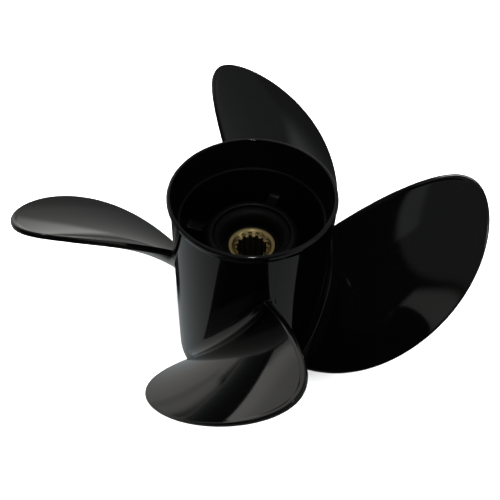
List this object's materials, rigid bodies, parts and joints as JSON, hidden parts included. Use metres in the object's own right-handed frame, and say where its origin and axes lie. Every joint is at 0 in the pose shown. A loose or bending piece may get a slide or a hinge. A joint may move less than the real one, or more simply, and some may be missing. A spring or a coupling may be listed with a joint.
{
  "type": "outboard motor propeller with through-hub exhaust",
  "caption": "Cast boat propeller: broad swept blades on a wide hollow exhaust barrel, with a rubber bush and a splined brass sleeve for the drive shaft.",
  "frame": {"origin": "on the shaft axis, in the plane of the barrel's forward end, on which the propeller stands", "axes": "+Z aft along the shaft axis; the rib of the first blade lies 20 degrees from +X towards -Y"},
  "size_m": [0.3364, 0.3364, 0.1596],
  "materials": {
    "black_paint": "gloss black baked paint on cast aluminium",
    "bush_rubber": "moulded, satin",
    "sleeve_brass": "turned, satin"
  },
  "bodies": {
    "root": {"propeller_casting": "black_paint", "hub_bush": "bush_rubber", "splined_sleeve": "sleeve_brass"}
  },
  "joints": []
}
